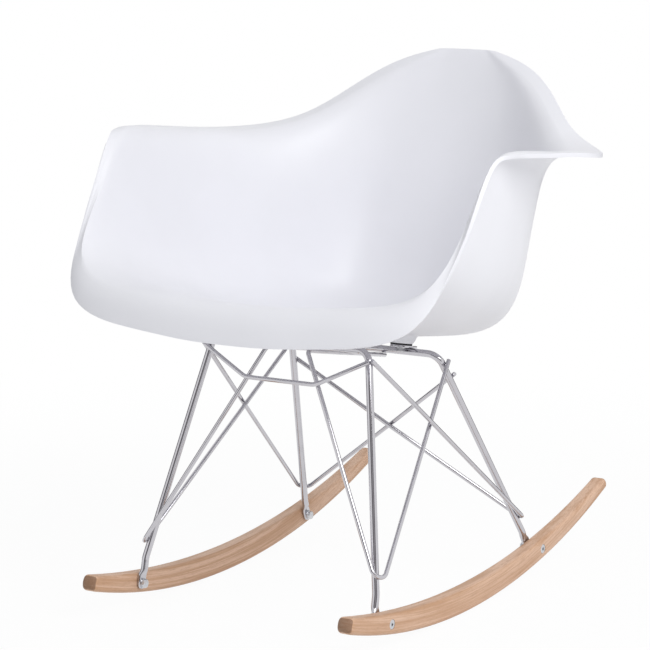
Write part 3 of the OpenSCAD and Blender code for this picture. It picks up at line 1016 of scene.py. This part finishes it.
def joinTo(piece, other):
    clearSelection()
    other.select_set(True)
    piece.select_set(True)
    bpy.context.view_layer.objects.active = piece
    bpy.ops.object.join()
    clearSelection()


# a hexagonal head with a turned chamfer and a plain shaft; z = 0 is under the head
def hexScrew(name, shaftLong):
    tall, corner, past = hardwareSizes["headTall"], hexCorner(hardwareSizes["headFlats"]), 0.01
    (topIn, topDown), (underIn, underUp) = hardwareSizes["topCut"], hardwareSizes["underCut"]
    screw = turnUp(name, [(corner, -tall), (corner, 0)], 6)
    blank = turnUp("headBlank", [(corner - topIn, -tall - past), (corner + 0.1, -tall + topDown),
                                 (corner + 0.1, -underUp), (corner - underIn, past)], 60)
    cutAway(screw, blank, "INTERSECT")
    shaft, point = hardwareSizes["shaftRadius"], 0.7
    rod = [(shaft, -0.5), (shaft, shaftLong - point), (shaft - point, shaftLong)]
    joinTo(screw, turnUp("shaft", rod, 32))
    return screw


def washerBlank(name):
    outer, thick, soft = hardwareSizes["washerRadius"], hardwareSizes["washerThick"], 0.25
    return turnUp(name, [(screwBore, -thick), (outer - soft, -thick), (outer, -thick + soft),
                         (outer, -soft), (outer - soft, 0), (screwBore, 0), (screwBore, -thick)])


def padBlank(name):
    outer, low, soft = hardwareSizes["padRadius"], hardwareSizes["plateThick"], hardwareSizes["padRound"]
    high = low + hardwareSizes["padThick"]
    return turnUp(name, [(screwBore, low), (outer - soft, low), (outer - soft * 0.3, low + soft * 0.3),
                         (outer, low + soft), (outer, high - soft), (outer - soft * 0.3, high - soft * 0.3),
                         (outer - soft, high), (screwBore, high), (screwBore, low)], roundSides)


# a round plate with a square side that reaches over the bar it is welded to
def plateBlank(name):
    radius, thick = hardwareSizes["padRadius"], hardwareSizes["plateThick"]
    reach = frameSizes["rod"] + hardwareSizes["washerRadius"] + hardwareSizes["barGap"]
    clearSelection()
    bpy.ops.mesh.primitive_circle_add(vertices=roundSides, radius=radius * mm, location=(0, 0, 0))
    plate = openPiece(name)
    choose(plate, "VERT", lambda vertex: vertex.co.y < -0.1 * mm)
    bpy.ops.mesh.delete(type="VERT")
    choose(plate, "VERT", lambda vertex: vertex.co.y < 0.1 * mm)
    bpy.ops.mesh.extrude_vertices_move(TRANSFORM_OT_translate={"value": (0, -reach * mm, 0)})
    chooseAll()
    bpy.ops.mesh.edge_face_add()
    pushOut(Vector((0, 0, thick)))
    mergeAndFaceOut()
    clearSelection()
    cutAway(plate, turnUp("plateHole", [(screwBore, -1), (screwBore, thick + 1)]))
    roundEdges(plate, hardwareSizes["plateRound"], 2, hardwareSizes["plateAngle"])
    applyModifiers(plate)
    return plate


# a sleeve nut: the body goes through the rocker, the head lies flush and has a hexagonal socket
def sleeveBlank(name):
    body, head, thick = sleeveSizes["bodyRadius"], sleeveSizes["headRadius"], sleeveSizes["headThick"]
    face, corner = rockerSizes["thick"], hexCorner(sleeveSizes["socketFlats"])
    crownIn, crownUp = sleeveSizes["crown"]
    sleeve = turnUp(name, [(body, 1), (body, face - thick), (head, face - thick), (head, face - 0.6),
                           (head - 0.2, face - 0.2), (head - 0.6, face), (head - crownIn, face + crownUp)],
                    roundSides)
    cutAway(sleeve, turnUp("socket", [(corner, face - sleeveSizes["socketDeep"]), (corner, face + 1)], 6))
    return sleeve


# a moulded boss grows from the wall with a cove; the wall above it is found from below
def buildBoss(name, place):
    radius, top, cove = hardwareSizes["bossRadius"], hardwareSizes["bossTop"], hardwareSizes["cove"]
    low, soft = hardwareSizes["plateThick"] + hardwareSizes["padThick"], hardwareSizes["bossRound"]
    up = (place.to_3x3() @ Vector((0, 0, 1))).normalized()

    def wallOver(angle, reach):
        spot = place @ (Vector((reach * math.cos(angle), reach * math.sin(angle), low)) * mm)
        found, hit, _, _ = shell.ray_cast(spot, up)
        return low + (hit - spot).length / mm if found else low

    clearSelection()
    bpy.ops.mesh.primitive_circle_add(vertices=roundSides, radius=(radius - soft) * mm,
                                      location=(0, 0, low * mm))
    boss = openPiece(name)
    chooseAll()
    rows = [("base", 0.25, radius - 0.25), ("base", soft, radius)]
    for step in range(6):
        angle = math.radians(90) * step / 5
        rows.append(("wall", -cove * (1 - math.sin(angle)), top + cove * (1 - math.cos(angle))))
    rows.append(("wall", hardwareSizes["bossRoot"], top + cove))
    for level, rise, reach in rows:
        pushOut(Vector((0, 0, 0)))

        def ontoRow(co, level=level, rise=rise, reach=reach):
            angle = math.atan2(co.y, co.x)
            height = (low if level == "base" else wallOver(angle, reach)) + rise
            return Vector((reach * math.cos(angle), reach * math.sin(angle), height)) * mm

        shapeBy(boss, ontoRow, onlySelected=True)
    closeEnds()
    chooseAll()
    bpy.ops.mesh.normals_make_consistent()
    clearSelection()
    boss.data.transform(place)
    return finishPiece(boss, "shell", angle=50)


# every fastener is made once and copied to its four places: blank, place, shift, slot and node
def buildHardware():
    screwLong = sum(hardwareSizes[size] for size in ("washerThick", "plateThick", "padThick", "screwGrip"))
    boltLong = hardwareSizes["washerThick"] + frameSizes["footThick"] + rockerSizes["thick"] / 2
    under = Matrix.Translation((0, 0, -hardwareSizes["washerThick"] * mm))
    behind = Matrix.Translation((0, 0, -(frameSizes["seam"] + frameSizes["footThick"]) * mm))
    kinds = {
        "Pad": (padBlank("pad"), mountPlace, Matrix(), "rubber_pad", "pad"),
        "SeatPlate": (plateBlank("seatPlate"), mountPlace, Matrix(), "chrome_plate", "seat_plate"),
        "SeatWasher": (washerBlank("seatWasher"), mountPlace, Matrix(), "zinc", "seat_washer"),
        "SeatScrew": (hexScrew("seatScrew", screwLong), mountPlace, under, "zinc", "seat_screw"),
        "RockerWasher": (washerBlank("rockerWasher"), boltPlace, behind, "zinc", "rocker_washer"),
        "RockerBolt": (hexScrew("rockerBolt", boltLong), boltPlace, behind @ under, "zinc", "rocker_bolt"),
        "Sleeve": (sleeveBlank("sleeve"), boltPlace, Matrix(), "zinc", "sleeve"),
    }
    for end in ("front", "rear"):
        for side, hand in ((1, "left"), (-1, "right")):
            for kind, (blank, placeFor, shift, slotName, node) in kinds.items():
                twin = copyPiece(blank, end + hand.capitalize() + kind, placeFor(side, end) @ shift)
                finishPiece(twin, slotName, end + "_" + hand + "_" + node, angle=35)
            buildBoss(end + hand.capitalize() + "Boss", mountPlace(side, end))
    for blank, *_ in kinds.values():
        bpy.data.objects.remove(blank)


rocker = buildRocker()
mirror = Matrix.Diagonal(Vector((-1, 1, 1, 1)))
finishPiece(copyPiece(rocker, "rightRocker", mirror), "wood", "right_rocker", angle=35)
finishPiece(rocker, "wood", "left_rocker", angle=35)
print("stage: rockers", len(rocker.data.polygons), "faces")
buildHardware()
print("stage: fasteners and bosses")


# camera, glossy and transmission rays meet what is shown; the others meet what lights the object
def whiteFor(sheet, shown, lit):
    seen, gloss, clear = (sheet.node("ShaderNodeLightPath", output="Is " + ray + " Ray")
                          for ray in ("Camera", "Glossy", "Transmission"))
    for other in (gloss, clear):
        seen = seen.maths("MAXIMUM", seen, other)
    return sheet.node("ShaderNodeMixShader", None, {0: seen, 1: lit, 2: shown})


stageSizes = {
    "floor": 12000,
    "shadow": 0.05,
    "fadeFrom": 450,
    "fadeTo": 1500,
    "floorTone": (0.9, 0.9, 0.9),
    "worldLight": 0.6,
    "worldTone": (0.97, 0.98, 1),
    "aim": (0, 0, 350),
    "key": {"place": (2200, -800, 2200), "size": 1600, "power": 38},
    "fill": {"place": (1500, -2300, 900), "size": 1800, "power": 3},
    "cardTone": (0.10, 0.09, 0.10),
    "cards": [
        {"place": (1545, -2571, 700), "wide": 4600, "tall": 3400},
        {"place": (-3000, -400, 700), "wide": 1700, "tall": 3400},
        {"place": (200, 3000, 600), "wide": 2200, "tall": 3400},
    ],
}


def buildStage():
    world = bpy.data.worlds.new("paleRoom")
    bpy.context.scene.world = world
    world.use_nodes = True
    world.node_tree.nodes.clear()
    sheet = Wire(world.node_tree)
    shown = sheet.node("ShaderNodeBackground", None, {"Color": (1, 1, 1, 1), "Strength": 1.0})
    lit = sheet.node("ShaderNodeBackground", None,
                     {"Color": (*stageSizes["worldTone"], 1), "Strength": stageSizes["worldLight"]})
    sheet.node("ShaderNodeOutputWorld", None, {"Surface": whiteFor(sheet, shown, lit)})

    clearSelection()
    bpy.ops.mesh.primitive_plane_add(size=stageSizes["floor"] * mm, location=(0, 0, 0))
    floor = bpy.context.object
    floor.name = "paleFloor"
    material, sheet, place = startMaterial("paleFloor")
    away = place.vectorMaths("LENGTH", output="Value")
    veil = (1 - away.rise(stageSizes["fadeFrom"] * mm, stageSizes["fadeTo"] * mm)) * stageSizes["shadow"]
    matt = sheet.node("ShaderNodeBsdfDiffuse", None, {"Color": (*stageSizes["floorTone"], 1)})
    white = sheet.node("ShaderNodeEmission", None, {"Color": (1, 1, 1, 1), "Strength": 1.0})
    shadowed = sheet.node("ShaderNodeMixShader", None, {0: veil, 1: white, 2: matt})
    sheet.node("ShaderNodeOutputMaterial", None, {"Surface": whiteFor(sheet, shadowed, matt)})
    floor.data.materials.append(material)

    for name in ("key", "fill"):
        lamp = stageSizes[name]
        data = bpy.data.lights.new(name + "Lamp", "AREA")
        data.shape = "SQUARE"
        data.size = lamp["size"] * mm
        data.energy = lamp["power"]
        holder = bpy.data.objects.new(name + "Lamp", data)
        bpy.context.scene.collection.objects.link(holder)
        place = Vector(lamp["place"]) * mm
        aim = (Vector(stageSizes["aim"]) * mm - place).to_track_quat("-Z", "Y")
        holder.matrix_world = Matrix.Translation(place) @ aim.to_matrix().to_4x4()

    # dark cards round the set put the dark lines into the chrome; nothing else sees them
    dark, sheet, _ = startMaterial("darkCard")
    tone = sheet.node("ShaderNodeEmission", None, {"Color": (*stageSizes["cardTone"], 1), "Strength": 1.0})
    sheet.node("ShaderNodeOutputMaterial", None, {"Surface": tone})
    for number, card in enumerate(stageSizes["cards"]):
        clearSelection()
        spot = Vector(card["place"]) * mm
        turn = math.atan2(spot.y, spot.x) + math.pi / 2
        bpy.ops.mesh.primitive_plane_add(size=mm, location=spot, rotation=(math.radians(90), 0, turn))
        sheetCard = bpy.context.object
        sheetCard.name = "darkCard" + str(number + 1)
        sheetCard.scale = (card["wide"], card["tall"], 1)
        sheetCard.data.materials.append(dark)
        for rays in ("camera", "diffuse", "shadow", "transmission"):
            setattr(sheetCard, "visible_" + rays, False)


buildStage()
print("stage: light")

# pieces that no visual mesh replaces keep their own mesh and get the finish of their slot
for node, held in frame["nodes"].items():
    if not held.hide_render:
        part = next(part for part in frame["record"]["subparts"] if part["node"] == node)
        held.data.materials.clear()
        held.data.materials.append(finishes[part["material_slot"]])
